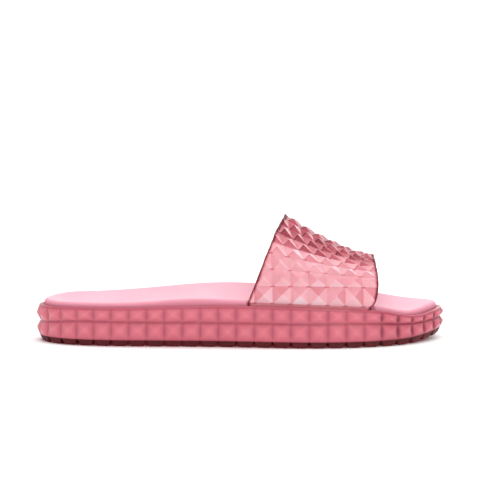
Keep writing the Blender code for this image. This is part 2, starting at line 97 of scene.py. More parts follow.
def closed_curve(points, samples):
    """Plan points of the closed curve through the given ones: cubics that share slope and bend
    where they meet, each run for the square root of its chord."""
    step = np.linalg.norm(np.roll(points, -1, axis=0) - points, axis=1) ** 0.5
    slope = (np.roll(points, -1, axis=0) - points) / step[:, None]
    before, unit = np.roll(step, 1), np.eye(len(points))
    system = unit * 2 * (before + step)[:, None]
    system += np.roll(unit, -1, axis=1) * before[:, None] + np.roll(unit, 1, axis=1) * step[:, None]
    bend = np.linalg.solve(system, 6 * (slope - np.roll(slope, 1, axis=0)))
    start = np.concatenate([[0], np.cumsum(step)])
    run = np.linspace(0, start[-1], samples, endpoint=False)
    k = np.searchsorted(start, run, side="right") - 1
    after = (k + 1) % len(points)
    h, s = step[k, None], (run - start[k])[:, None]
    cubes = (bend[k] * (h - s) ** 3 + bend[after] * s**3) / (6 * h)
    from_before = (points[k] / h - bend[k] * h / 6) * (h - s)
    to_after = (points[after] / h - bend[after] * h / 6) * s
    return cubes + from_before + to_after


def outward(loop):
    """Unit normals of a closed plan curve: its chord from neighbour to neighbour, turned a quarter."""
    chord = np.roll(loop, -1, axis=0) - np.roll(loop, 1, axis=0)
    normal = np.stack([chord[:, 1], -chord[:, 0]], axis=-1)
    return normal / np.linalg.norm(normal, axis=1)[:, None]


OUTLINE_SAMPLES = 6000
edge_curve = closed_curve(np.array(OUTLINE) * [SOLE_LENGTH, BALL_WIDTH], OUTLINE_SAMPLES)
edge_curve = np.vstack([edge_curve, edge_curve[:1]])
edge_normal = outward(edge_curve[:-1])
edge_normal = np.vstack([edge_normal, edge_normal[:1]])
edge_arc = np.concatenate([[0], np.cumsum(np.linalg.norm(np.diff(edge_curve, axis=0), axis=1))])
toe = int(np.argmax(edge_curve[:, 0]))


def on_edge(arc, inset):
    """Plan points on the outline at arc lengths from the heel, each moved inward by an inset."""
    x, y = (np.interp(arc, edge_arc, edge_curve[:, i]) for i in (0, 1))
    nx, ny = (np.interp(arc, edge_arc, edge_normal[:, i]) for i in (0, 1))
    size = np.hypot(nx, ny)
    return np.stack([x - inset * nx / size, y - inset * ny / size], axis=-1)


def edge_y(x, medial, inset):
    """Y of the inset outline at X, on the medial or the lateral side."""
    side = slice(toe, None) if medial else slice(0, toe + 1)
    inner = (edge_curve - inset * edge_normal)[side]
    inner = inner[np.argsort(inner[:, 0])]
    return np.interp(x, inner[:, 0], inner[:, 1])


def along(table, x, index):
    """One column of a table at X: cubics through the rows, with slopes from both neighbours."""
    table = np.array(table)
    at, value = table[:, 0], table[:, index]
    slope = np.gradient(value, at)
    share = np.clip(x / SOLE_LENGTH, 0, 1)
    k = np.clip(np.searchsorted(at, share, side="right") - 1, 0, len(at) - 2)
    h = at[k + 1] - at[k]
    t = (share - at[k]) / h
    ends = value[k] * (1 + 2 * t) * (1 - t) ** 2 + value[k + 1] * t**2 * (3 - 2 * t)
    return ends + slope[k] * h * t * (1 - t) ** 2 + slope[k + 1] * h * t**2 * (t - 1)


def spring(x):
    """Rise of the underside towards the toe: a parabola over the last eighth of the length, which
    runs on for a tenth of that past the toe."""
    start = SPRING_START * SOLE_LENGTH
    return TOE_SPRING * np.clip((x - start) / (SOLE_LENGTH - start), 0, 1.1) ** 2


def medial_share(y):
    """Smooth step from none on the lateral side to one on the medial side, over six tenths of the
    width."""
    step_width = 0.60 * BALL_WIDTH
    share = np.clip(0.5 + y / step_width, 0, 1)
    return share**2 * (3 - 2 * share)


def arch(x, y):
    """Bell curve along the medial side, one in the middle of the arch."""
    return medial_share(y) * np.exp(-(((x / SOLE_LENGTH - ARCH_PLACE) / ARCH_SPREAD) ** 2))


def rim_height(x, y):
    """Height of the rim: the table's share of its height, the toe spring and half the arch."""
    return RIM_HEIGHT * along(SIDE, x, 1) + spring(x) + RIM_ARCH * ARCH_RISE * arch(x, y)


def valley_height(x, y):
    """Height of the valley between the two rows of side studs, with a fifth of the arch."""
    return RIM_HEIGHT * along(SIDE, x, 2) + spring(x) + VALLEY_ARCH * ARCH_RISE * arch(x, y)


def column_arc(place):
    """Arc length of a place counted in stud columns, which widen a little towards the toe."""
    turn = (place + 0.5) / STUD_COLUMNS
    widened = turn - TOE_COLUMN_EXTRA / (2 * math.pi) * np.sin(2 * math.pi * turn)
    return edge_arc[-1] * widened % edge_arc[-1]


def grid_faces(rows, columns, wrap=False):
    """Quads of a grid of points, row by row; with wrap the last column meets the first."""
    column = np.arange(columns if wrap else columns - 1)
    row = np.arange(rows - 1)[:, None] * columns
    after = (column + 1) % columns
    corners = row + column, row + after, row + columns + after, row + columns + column
    return np.stack(corners, -1).reshape(-1, 4)


def zipped(ring):
    """Faces across a closed ring that starts half a stud column from the heel: a strip of quads
    between its two sides, from the heel's middle to the toe's."""
    ring = np.roll(ring, STUD_STEPS // 2)
    side, other = ring[:len(ring) // 2 + 1], np.roll(ring[::-1], 1)[:len(ring) // 2 + 1]
    quads = np.column_stack([side[:-1], side[1:], other[1:], other[:-1]]).tolist()
    return [quads[0][:3], *quads[1:-1], [*quads[-1][:2], quads[-1][3]]]


def split_cells(quads, columns, steps):
    """Triangles of a grid's cells, each cut along the diagonal of its stud that crosses it."""
    cell_row, cell_column = np.divmod(np.arange(len(quads)), columns)
    falling = (cell_row % steps + cell_column % steps == steps - 1)[:, None]
    return np.vstack([
        np.where(falling, quads[:, [0, 1, 3]], quads[:, [0, 1, 2]]),
        np.where(falling, quads[:, [1, 2, 3]], quads[:, [0, 2, 3]]),
    ])


JOIN_DISTANCE = 2e-6


def make_mesh(name, points, faces, caps=(), sharp=180, **marks):
    """Mesh object at the origin from points and faces, with its coinciding points joined and its
    edges sharp over an angle in degrees. Each mark is a number for every point, or for every face
    and cap, kept as an attribute for the material."""
    mesh = bpy.data.meshes.new(name)
    points = points.reshape(-1, 3)
    caps = [[int(corner) for corner in cap] for cap in caps]
    mesh.from_pydata(points.tolist(), [], faces.tolist() + caps)
    for mark, values in marks.items():
        domain = "POINT" if np.size(values) == len(points) else "FACE"
        mesh.attributes.new(mark, "FLOAT", domain).data.foreach_set("value", np.ravel(values))
    work = bmesh.new()
    work.from_mesh(mesh)
    bmesh.ops.remove_doubles(work, verts=work.verts, dist=JOIN_DISTANCE)
    bmesh.ops.recalc_face_normals(work, faces=work.faces)
    work.to_mesh(mesh)
    work.free()
    mesh.shade_smooth()
    mesh.set_sharp_from_angle(angle=math.radians(sharp))
    piece = bpy.data.objects.new(name, mesh)
    bpy.context.collection.objects.link(piece)
    return piece


# The heel's rearmost point in the frame, from which X and Y are counted above
footbed_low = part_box("footbed")[0]
heel_x = footbed_low[0] - RIM_WIDTH + RIM_FLARE - FIT_GAP - edge_curve[:, 0].min()
HEEL = np.array([heel_x, CENTRE_OFFSET, 0.0])

# Steps of the mesh along each stud and up it, and rows under the foot and round the edge. The rows
# stop short, by a share of the way, of the line that they run up to.
STUD_STEPS = 12
TREAD_ROWS = 40
EDGE_ROWS = 20
SHORT = 0.02
place = np.arange(STUD_COLUMNS * STUD_STEPS) / STUD_STEPS
sole_arc = column_arc(place)
column_share = place % 1.0
foot_x, foot_y = on_edge(sole_arc, 0.0).T


def ring(inset, height):
    """Closed row of points round the sole at an inset and a height."""
    return np.column_stack([on_edge(sole_arc, inset), np.broadcast_to(height, place.shape)])


HEEL_MIDDLE = 0.13
TOE_MIDDLE = 0.85


def middle(plan):
    """Points of the foot's middle line next to plan points. The line runs from the middle of the
    heel's curve to the middle of the toe's."""
    x = np.clip(plan[:, 0], HEEL_MIDDLE * SOLE_LENGTH, TOE_MIDDLE * SOLE_LENGTH)
    return np.column_stack([x, (edge_y(x, False, 0) + edge_y(x, True, 0)) / 2])


def tread_stud(x, y):
    """Blunt pyramids of the tread: columns across the foot, each shared out over the width there.
    A stud rises from its groove at one slope to a flat half as wide as itself."""
    field = on_edge(sole_arc, EDGE_STUD_DEPTH)
    turn = int(np.argmax(field[:, 0]))
    low, high = field[:, 0].min() + TREAD_GROOVE, field[:, 0].max() - TREAD_GROOVE
    count = int((high - low) / TREAD_PITCH)
    pitch = (high - low) / count
    lines = low + pitch * np.arange(count + 1)
    start = np.interp(lines, field[: turn + 1, 0], field[: turn + 1, 1])
    end = np.interp(lines, field[turn:, 0][::-1], field[turn:, 1][::-1])
    start = np.maximum(start[:-1], start[1:]) + TREAD_GROOVE
    end = np.minimum(end[:-1], end[1:]) - TREAD_GROOVE
    studs = np.maximum(np.round((end - start) / TREAD_PITCH), 1)
    k = np.clip(((x - low) / pitch).astype(int), 0, count - 1)
    across = (y - start[k]) / (end[k] - start[k])
    inside = (across > 0) & (across < 1) & (x > low) & (x < high)
    u, v = (x - low) / pitch % 1.0, across * studs[k] % 1.0
    ramp = 2 * (1 - np.maximum(np.abs(2 * u - 1), np.abs(2 * v - 1)) - TREAD_GROOVE / pitch)
    return np.where(inside, np.clip(ramp, 0, 1), 0)


HEEL_TURN = 0.13
TOE_TURN = 0.80
TURN_BLEND = 0.07


def at_ends(x):
    """Smooth step from none along the foot to one at the heel and the toe, where the side curves."""
    past = np.maximum(HEEL_TURN - x / SOLE_LENGTH, x / SOLE_LENGTH - TOE_TURN)
    share = np.clip(past / TURN_BLEND, 0, 1)
    return share**2 * (3 - 2 * share)


EDGE_POWER = 9
TIP_ROUND = 0.06
VALLEY_STEEPNESS = 14


def side_stud(share):
    """Pyramids of one side row at a height: one less the greater distance from the stud's middle.
    Along the foot their edges look soft through the clear skin, so there the greater is a power
    mean, blunt at the tip, and the valley is eased by the logarithm of one plus an exponential."""
    a, b = np.abs(2 * column_share - 1), abs(2 * share - 1)
    crisp = 1 - np.maximum(a, b)
    greater = (a**EDGE_POWER + b**EDGE_POWER + TIP_ROUND**EDGE_POWER) ** (1 / EDGE_POWER)
    eased = np.logaddexp(0, VALLEY_STEEPNESS * (1 - greater)) / VALLEY_STEEPNESS
    lowest = math.log(2) / VALLEY_STEEPNESS
    soft = (eased - lowest) / (1 - TIP_ROUND - lowest)
    return soft + at_ends(foot_x) * (crisp - soft)


# Shares of painted light in the jelly's colour, standing in for light and shade: at a side stud's foot,
# what its tip gains and what painted shade takes between two columns, in the valleys and round the
# toe, then the shares on the tread, the rim and in the recess
SIDE_LIGHT = 0.60
TIP_GAIN = 0.38
GAP_WIDTH = 0.13
GAP_LOSS = 0.12
TOE_GAP_LOSS = 0.16
VALLEY_LOSS = 0.13
TOE_LOSS = 0.12
TREAD_LIGHT = 0.12
RIM_LIGHT = 0.5
RECESS_LIGHT = 0.4


def painted_side_light(share, stud):
    """Share of painted light at a height of one side row, for the colour: more towards a stud's tip,
    and painted shade in the valleys round it, deepest half way up between two columns, and round
    the toe."""
    gap = np.exp(-((np.minimum(column_share, 1 - column_share) / GAP_WIDTH) ** 2))
    toe_end = at_ends(foot_x) * (foot_x > SOLE_LENGTH / 2)
    half_way = 1 - (2 * share - 1) ** 2
    light = SIDE_LIGHT + TIP_GAIN * stud - (GAP_LOSS + TOE_GAP_LOSS * toe_end) * gap * half_way
    valley_row = share < 0.05 or share > 0.9
    return light - VALLEY_LOSS * valley_row - TOE_LOSS * toe_end


def sole_rows():
    """Rows of the sole from the tread's middle line out over the edge studs, up the side, round the
    rim and down into the recess, each point with its share of painted light for the colour. Side
    studs stand along the outline's normal; the colour is painted light at their tips, painted shade
    in their valleys, and the deepest painted shade on the tread."""
    rows = []

    def row(points, light):
        rows.append(np.column_stack([points, np.broadcast_to(light, place.shape)]))

    tread = on_edge(sole_arc, EDGE_STUD_DEPTH)
    for share in np.linspace(SHORT, 1 - SHORT, TREAD_ROWS):
        plan = middle(tread) + share * (tread - middle(tread))
        stud = tread_stud(plan[:, 0], plan[:, 1])
        row(np.column_stack([plan, TREAD_DEPTH * (1 - stud) + spring(plan[:, 0])]), TREAD_LIGHT * stud)
    across = np.minimum(np.minimum(column_share, 1 - column_share) / EDGE_STUD_SLOPE, 1)
    for share in np.linspace(1, SHORT, EDGE_ROWS):
        inset = share * EDGE_STUD_DEPTH - (1 - share) * EDGE_FLARE
        ramp = np.minimum(across, min(share / EDGE_STUD_SLOPE, (1 - share) / EDGE_STUD_OUTER_SLOPE, 1))
        base = EDGE_HEIGHT + share * (TREAD_DEPTH - EDGE_HEIGHT)
        height = base * (1 - ramp) + spring(on_edge(sole_arc, inset)[:, 0])
        row(ring(inset, height), TREAD_LIGHT * ramp)
    edge = EDGE_HEIGHT + spring(foot_x)
    valley = valley_height(foot_x, foot_y)
    rim = rim_height(foot_x, foot_y)
    for share in np.arange(STUD_STEPS) / STUD_STEPS:
        stud = side_stud(share)
        lift = LOWER_STUD_HEIGHT * stud + EDGE_FLARE * (1 - share)
        row(ring(-lift, edge + share * (valley - edge)), painted_side_light(share, stud))
    for share in np.arange(STUD_STEPS) / STUD_STEPS:
        stud = side_stud(share)
        lift = UPPER_STUD_HEIGHT * stud + RIM_FLARE * share
        row(ring(-lift, valley + share * (rim - RIM_ROUND - valley)), painted_side_light(share, stud))
    for angle in np.radians([0, 30, 60, 90]):
        turn = RIM_ROUND * (1 - math.cos(angle)), RIM_ROUND * (1 - math.sin(angle))
        row(ring(turn[0] - RIM_FLARE, rim - turn[1]), RIM_LIGHT)
    inner = RIM_WIDTH - RIM_FLARE
    for angle in np.radians([90, 60, 30, 0]):
        turn = RIM_ROUND * (1 - math.cos(angle)), RIM_ROUND * (1 - math.sin(angle))
        row(ring(inner - turn[0], rim - turn[1]), RECESS_LIGHT)
    plan = on_edge(sole_arc, inner)
    row(np.column_stack([plan, RECESS_FLOOR + spring(plan[:, 0])]), RECESS_LIGHT)
    plan = middle(plan) + SHORT * (plan - middle(plan))
    row(np.column_stack([plan, RECESS_FLOOR + spring(plan[:, 0])]), RECESS_LIGHT)
    return np.array(rows)


rows = sole_rows()
count, width = rows.shape[:2]
sole = make_mesh(
    "sole_cup",
    rows[..., :3] + HEEL,
    split_cells(grid_faces(count, width, wrap=True), width, STUD_STEPS),
    zipped(np.arange(width)) + zipped((count - 1) * width + np.arange(width)),
    sharp=16,
    light=rows[..., 3],
)
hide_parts("sole")
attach(sole, "root")


def linear(code):
    """Linear colour of an sRGB hex code: each channel by the two-part sRGB curve."""
    channels = [int(code[i:i + 2], 16) / 255 for i in (1, 3, 5)]
    return (*(c / 12.92 if c <= 0.04045 else ((c + 0.055) / 1.055) ** 2.4 for c in channels), 1.0)


def add(material, kind, links=(), stops=(), **settings):
    """Adds a node to a material. Settings named as a property are set on the node, others on the
    input of that name with spaces for underscores. Each link is (input, node, output), and each
    stop of a colour ramp is a position and an sRGB hex code."""
    made = material.node_tree.nodes.new(kind)
    elements = made.color_ramp.elements if stops else ()
    while len(elements) < len(stops):
        elements.new(0.5)
    for element, (position, code) in zip(elements, stops):
        element.position, element.color = position, linear(code)
    for name, value in settings.items():
        if hasattr(made, name):
            setattr(made, name, value)
        else:
            made.inputs[name.replace("_", " ")].default_value = value
    for name, source, output in links:
        material.node_tree.links.new(source.outputs[output], made.inputs[name])
    return made


def new_material(name, piece):
    """Empty node material on a piece."""
    material = bpy.data.materials.new(name)
    material.use_nodes = True
    material.node_tree.nodes.clear()
    piece.data.materials.clear()
    piece.data.materials.append(material)
    return material


# Soft PVC, injection moulded: rose jelly with a satin skin, its dye in the whole mass, and the
# mould leaves a slight ripple. The colour carries painted light and shade from the light mark: deep
# red as painted shade on the tread, in the valleys and round the toe, and pale as painted light at
# the studs' tips.
jelly = new_material("moulded_soft_pvc", sole)
place_in = add(jelly, "ShaderNodeTexCoord")
light = add(jelly, "ShaderNodeAttribute", attribute_name="light")
cloud = add(jelly, "ShaderNodeTexNoise", [("Vector", place_in, "Object")], Scale=60.0, Detail=3.0)
vary = add(jelly, "ShaderNodeMapRange", [("Value", cloud, "Fac")], To_Min=-0.06, To_Max=0.06)
depth = add(jelly, "ShaderNodeMath", [(0, light, "Fac"), (1, vary, "Result")], operation="ADD")
tone = add(
    jelly, "ShaderNodeValToRGB", [("Fac", depth, "Value")],
    stops=[(0.0, "#44060A"), (0.14, "#78101C"), (0.34, "#A03C50"), (0.58, "#CE6678"), (0.95, "#E5818F")],
)
ripple = add(jelly, "ShaderNodeTexNoise", [("Vector", place_in, "Object")], Scale=900.0, Detail=2.0)
bump = add(jelly, "ShaderNodeBump", [("Height", ripple, "Fac")], Strength=0.10, Distance=0.0003)
matt = add(
    jelly, "ShaderNodeMapRange", [("Value", depth, "Value")],
    From_Max=0.3, To_Min=0.65, To_Max=0.30,
)
shader = add(
    jelly, "ShaderNodeBsdfPrincipled",
    [("Base Color", tone, "Color"), ("Roughness", matt, "Result"), ("Normal", bump, "Normal")],
    IOR=1.53, Specular_IOR_Level=0.30,
    Transmission_Weight=0.12, Subsurface_Weight=0.4, Subsurface_Scale=0.003,
)
add(jelly, "ShaderNodeOutputMaterial", [("Surface", shader, "BSDF")])


# Footbed
# The footbed is a die-cut and pressed EVA foam bed with a heel cup and an arch. It drops into the
# recess of the sole and stands a few millimetres over the rim, its upper edge rounded.
FOOTBED_PROUD = 0.0032
EDGE_ROUND = 0.0026
FOOTBED_THICKNESS = 0.0140
STRAP_WALL = 0.0015
TUCK_GAP = 0.0006
STRAP_REAR = 0.1325
STRAP_LENGTH = 0.0775
MEDIAL_REAR_SHIFT = 0.0046
MEDIAL_FRONT_SHIFT = 0.0025
NOTCH_REAR = 0.0006
NOTCH_FRONT = 0.0030
NOTCH_STEP = 0.0006
DISH_POWER = 2.4
SIDE_ROWS = 7
ROUND_ROWS = 9
DISH_ROWS = 32

# Along, height of the lateral and of the medial edge over the rim, height of the middle line
FOOTBED = (
    (0.00, 1.00, 1.30, 1.15), (0.05, 0.96, 1.45, 1.10), (0.12, 0.90, 1.22, 1.03),
    (0.25, 1.00, 1.15, 1.08), (0.38, 1.40, 0.95, 1.22), (0.52, 1.00, 0.65, 1.20),
    (0.70, 0.85, 0.80, 1.02), (0.85, 0.85, 0.95, 0.90), (0.93, 0.95, 1.65, 0.84),
    (1.00, 1.10, 1.05, 0.82),
)


def notch(x, y):
    """Inset of the bed's side where a strap foot passes: none or the strap's wall and its gap."""
    medial = y > 0
    rear = STRAP_REAR - NOTCH_REAR + np.where(medial, MEDIAL_REAR_SHIFT, 0)
    front = STRAP_REAR + STRAP_LENGTH + NOTCH_FRONT + np.where(medial, MEDIAL_FRONT_SHIFT, 0)
    return (STRAP_WALL + TUCK_GAP) * np.clip(np.minimum(x - rear, front - x) / NOTCH_STEP + 0.5, 0, 1)


def footbed_rows():
    """Rows of the bed from its underside up the side, round the edge in a quarter circle and down
    into the dish, which falls from the edge to the middle line by a power of the share across. The
    fourth number is the share of shade, from one on the side to none where the edge turns level."""
    inset = RIM_WIDTH - RIM_FLARE + FIT_GAP + notch(foot_x, foot_y)
    lateral, medial = along(FOOTBED, foot_x, 1), along(FOOTBED, foot_x, 2)
    proud = lateral + medial_share(foot_y) * (medial - lateral)
    rest_of_arch = (1 - RIM_ARCH) * ARCH_RISE * arch(foot_x, foot_y)
    edge = rim_height(foot_x, foot_y) + FOOTBED_PROUD * proud + rest_of_arch
    under = on_edge(sole_arc, inset)
    base = RECESS_FLOOR + FIT_GAP + spring(under[:, 0])
    inner = middle(under) + SHORT * (under - middle(under))
    one = np.ones(len(under))
    rows = [np.column_stack([inner, RECESS_FLOOR + FIT_GAP + spring(inner[:, 0]), one])]
    rows.append(np.column_stack([under, base, one]))
    for share in np.linspace(0.1, 0.9, SIDE_ROWS):
        rows.append(np.column_stack([under, base + share * (edge - EDGE_ROUND - base), one]))
    for angle in np.radians(np.linspace(0, 90, ROUND_ROWS)):
        plan = on_edge(sole_arc, inset + EDGE_ROUND * (1 - math.cos(angle)))
        height = edge - EDGE_ROUND * (1 - math.sin(angle))
        rows.append(np.column_stack([plan, height, one * math.cos(angle)]))
    spine = middle(plan)
    for share in np.linspace(1 - SHORT, SHORT, DISH_ROWS):
        x, y = (spine + share * (plan - spine)).T
        centre = RECESS_FLOOR + spring(x) + FOOTBED_THICKNESS * along(FOOTBED, x, 3)
        rows.append(np.column_stack([x, y, centre + (edge - centre) * share**DISH_POWER, 0 * x]))
    return np.array(rows)


rows = footbed_rows()
count, width = rows.shape[:2]
footbed = make_mesh(
    "footbed_bed",
    rows[..., :3] + HEEL,
    grid_faces(count, width, wrap=True),
    zipped(np.arange(width)) + zipped((count - 1) * width + np.arange(width)),
    shade=rows[..., 3],
)
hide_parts("footbed")
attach(footbed, "root")

# EVA foam, pressed: pale pink and matte, with the fine closed grain of the mould's texture.
foam = new_material("pressed_eva_foam", footbed)
place_in = add(foam, "ShaderNodeTexCoord")
# The shade mark paints the bed's side and rounded edge a deeper rose: painted shade, fading out where the
# edge turns level.
shade = add(foam, "ShaderNodeAttribute", attribute_name="shade")
cloud = add(foam, "ShaderNodeTexNoise", [("Vector", place_in, "Object")], Scale=35.0, Detail=4.0)
vary = add(
    foam, "ShaderNodeMapRange", [("Value", cloud, "Fac")],
    From_Min=0.25, From_Max=0.75, To_Max=0.12,
)
depth = add(foam, "ShaderNodeMath", [(0, shade, "Fac"), (1, vary, "Result")], operation="ADD")
tone = add(
    foam, "ShaderNodeValToRGB", [("Fac", depth, "Value")],
    stops=[(0.0, "#F8C4D2"), (0.12, "#F6B9C8"), (1.0, "#DE8DA0")],
)
grain = add(foam, "ShaderNodeTexVoronoi", [("Vector", place_in, "Object")], Scale=1400.0)
bump = add(foam, "ShaderNodeBump", [("Height", grain, "Distance")], Strength=0.25, Distance=0.0002)
shader = add(
    foam, "ShaderNodeBsdfPrincipled", [("Base Color", tone, "Color"), ("Normal", bump, "Normal")],
    Roughness=0.72, IOR=1.45, Subsurface_Weight=0.15, Subsurface_Scale=0.002,
)
add(foam, "ShaderNodeOutputMaterial", [("Surface", shader, "BSDF")])


# Strap
# The strap is one band of the same soft PVC as the sole, thin enough to let the light through. Its
# rows of pyramids run over the instep, and its plain margins go down between sole and footbed.
STRAP_STUD_HEIGHT = 0.0022
INSTEP_HEIGHT = 0.0536
INSTEP_FALL = 0.0282
INSTEP_SAG = 0.0026
FRONT_LIP = 0.0013
LIP_SHARE = 0.2
REAR_LEAN = 0.0234
FRONT_BULGE = 0.0045
FRONT_BULGE_POWER = 0.6
FRONT_BULGE_REACH = 0.93
STUD_ROWS = 14
FIRST_ROW = 0.0104
FIRST_ROW_GAIN = 0.0020
STRAP_FOOT = 0.0018
STRAP_TUCK = 0.0090
STRAP_FAN = 0.32
STRAP_FAN_POWER = 3
RIDGE_ROW = 8.0

# Share across and share of the height at the strap's rear end, then the same at its front end
SECTION = (
    (0.000, 0.00, 0.000, 0.00), (0.002, 0.21, 0.002, 0.30), (0.016, 0.41, 0.030, 0.59),
    (0.092, 0.56, 0.110, 0.75), (0.200, 0.68, 0.215, 0.85), (0.430, 0.89, 0.410, 0.96),
    (0.620, 1.00, 0.600, 1.00), (0.780, 0.93, 0.770, 0.94), (0.905, 0.75, 0.905, 0.78),
    (0.980, 0.45, 0.980, 0.50), (1.000, 0.00, 1.000, 0.00),
)


def smooth_columns(table, samples=24):
    """Columns of a table as curves through its rows, each cubic with slopes from its neighbours."""
    rows = np.array(table).T
    ends = np.column_stack([2 * rows[:, 0] - rows[:, 1], rows, 2 * rows[:, -1] - rows[:, -2]])
    t = np.arange(samples) / samples
    a, b, c, d = (ends[:, n:n + rows.shape[1] - 1, None] for n in range(4))
    curve = b + t / 2 * (c - a + t * (2 * a - 5 * b + 4 * c - d + t * (3 * (b - c) + d - a)))
    return np.column_stack([curve.reshape(len(rows), -1), rows[:, -1]])


strap_section = smooth_columns(SECTION)
column_lines = on_edge(column_arc(np.arange(STUD_COLUMNS // 2 + 1)), 0.0)[:, 0]
first, last = np.searchsorted(column_lines, [STRAP_REAR, STRAP_REAR + STRAP_LENGTH])
strap_start = column_lines[first]
strap_pitch = (column_lines[last] - strap_start) / (last - first)


def ridge(x):
    """Height of the strap's highest line, which falls and sags from the rear to the front and
    curls up over its last fifth by a parabola."""
    share = (x - STRAP_REAR - REAR_LEAN) / (STRAP_LENGTH - REAR_LEAN)
    lip = FRONT_LIP * np.clip((share - 1 + LIP_SHARE) / LIP_SHARE, 0, 1) ** 2
    sag = 4 * INSTEP_SAG * share * (1 - share)
    return RIM_HEIGHT + INSTEP_HEIGHT - INSTEP_FALL * share - sag + lip


def strap_face(x, row):
    """Points of the face that the studs stand on. The section at X passes from the rear one to the
    front one. The first and last rows get a little wider towards the toe and the others share out
    the rest of the arc; rows past the ends go straight down."""
    inset = RIM_WIDTH - RIM_FLARE + FIT_GAP
    low_y, high_y = edge_y(x, False, inset), edge_y(x, True, inset)
    low_z, high_z = rim_height(x, low_y) + STRAP_FOOT, rim_height(x, high_y) + STRAP_FOOT
    end = np.clip((x - STRAP_REAR - REAR_LEAN) / (STRAP_LENGTH - REAR_LEAN), 0, 1)[:, None]
    across = strap_section[0] + (strap_section[2] - strap_section[0]) * end
    up = strap_section[1] + (strap_section[3] - strap_section[1]) * end
    y = low_y[:, None] + (high_y - low_y)[:, None] * across
    foot = low_z[:, None] + (high_z - low_z)[:, None] * across
    z = foot + (ridge(x)[:, None] - foot) * up
    arc = np.hypot(np.diff(y, axis=1), np.diff(z, axis=1)).cumsum(axis=1)
    arc = np.column_stack([np.zeros(len(x)), arc])
    total = arc[:, -1]
    first_row = FIRST_ROW + FIRST_ROW_GAIN * np.clip((x - STRAP_REAR) / STRAP_LENGTH, 0, 1)
    part = first_row + (total - 2 * first_row) * (row - 1) / (STUD_ROWS - 2)
    part = np.where(row < 1, first_row * row, part)
    part = np.where(row > STUD_ROWS - 1, total - first_row * (STUD_ROWS - row), part)
    turn = np.arange(len(x))
    key = (arc / total[:, None] + 2 * turn[:, None]).ravel()
    wanted = np.clip(part / total, 0, 1) + 2 * turn
    found_y, found_z = np.interp(wanted, key, y.ravel()), np.interp(wanted, key, z.ravel())
    tuck = STRAP_TUCK * (np.clip(-row, 0, 1) + np.clip(row - STUD_ROWS, 0, 1))
    return np.column_stack([x, found_y, found_z - tuck])


def fan(row):
    """Share by which the stud columns have closed up at a row: most over the instep."""
    return STRAP_FAN * np.sin(math.pi * np.clip(row / STUD_ROWS, 0, 1)) ** STRAP_FAN_POWER


def rise(x, row):
    """Share of the way up from the rim to the ridge, at a row of the section at X."""
    row = np.clip(row, 0, STUD_ROWS)
    x = np.full(row.shape, x)
    foot = strap_face(x, np.where(row < STUD_ROWS / 2, 0.0, STUD_ROWS))[:, 2]
    return np.clip((strap_face(x, row)[:, 2] - foot) / (ridge(x) - foot), 0, 1)


def strap_ends(row):
    """X of the trimmed rear edge, which leans forward, and of the front edge, which bulges most a
    little over half way up and is still nearly half as far out at the ridge."""
    turn = (1 - np.cos(math.pi * np.clip(row / STUD_ROWS, 0, 1))) / 2
    rear = STRAP_REAR + MEDIAL_REAR_SHIFT * turn**2 + REAR_LEAN * rise(STRAP_REAR + REAR_LEAN / 2, row)
    up = FRONT_BULGE_REACH * rise(STRAP_REAR + STRAP_LENGTH, row)
    bulge = FRONT_BULGE * (4 * up * (1 - up)) ** FRONT_BULGE_POWER
    return rear, STRAP_REAR + STRAP_LENGTH + MEDIAL_FRONT_SHIFT * turn + bulge


def strap_places(x, row):
    """Place in stud columns of X at a row."""
    return (STRAP_REAR + (x - STRAP_REAR) / (1 - fan(row)) - strap_start) / strap_pitch


def strap_surface(place, row, lift):
    """Points over the strap's face by a lift, along the normal of the section, which is the chord
    between a little below a row and a little over it, turned a quarter."""
    step = 0.02
    x = STRAP_REAR + (strap_start + place * strap_pitch - STRAP_REAR) * (1 - fan(row))
    flat = np.clip(row, step, STUD_ROWS - step)
    across = strap_face(x, flat + step) - strap_face(x, flat - step)
    normal = np.column_stack([np.zeros(len(x)), -across[:, 2], across[:, 1]])
    normal /= np.linalg.norm(normal, axis=1)[:, None]
    return strap_face(x, row) + lift[:, None] * normal


def stud_place(place, row):
    """Place on a stud of a point: along the strap and up the foot, each from minus one to one, and
    the share of the way up from the strap's foot to its ridge, on either side of it."""
    up = np.where(row < RIDGE_ROW, row / RIDGE_ROW, (STUD_ROWS - row) / (STUD_ROWS - RIDGE_ROW))
    side = np.where(row < RIDGE_ROW, 1, -1)
    return 2 * (place % 1.0) - 1, side * (2 * (row % 1.0) - 1), np.clip(up, 0, 1)


# Shares of painted light through a stud's facets, which light and shade them in the colour: in
# the first row and what the toe end adds, over the instep, in the rows next to the pale one and at
# the ridge. Over the instep and at the ridge, where the change begins and how far it takes are
# shares of the way up.
UPPER_FACET = 0.56
LOWER_FACET = 0.93
REAR_FACET = 0.58
REAR_TOE_GAIN = 0.30
FRONT_FACET = 0.80
FRONT_TOE_GAIN = -0.28
INSTEP_FROM = 0.22
INSTEP_BLEND = 0.25
INSTEP_UPPER_GAIN = 0.04
INSTEP_LOWER_GAIN = -0.60
INSTEP_ACROSS = 0.76
PALE_ROW = 2.2
PALE_ROWS_WIDE = 1.2
PALE_TONE = 0.69
PALE_SHARE = 0.95
RIDGE_FROM = 0.42
RIDGE_BLEND = 0.28
RIDGE_TONE = 0.17
RIDGE_SHARE = 0.88
CHANCE = 0.10
PALE_CHANCE_LOSS = 0.07
COLUMN_STEP = 12.9898
ROW_STEP = 78.233
FACET_STEP = 3.7
CHANCE_SPREAD = 43.7585
DEEPEST = 0.05
MARGIN_TONE = 0.5
# The cut faces of the trimmed edges get a deep tone: painted shade.
CUT_TONE = 0.2


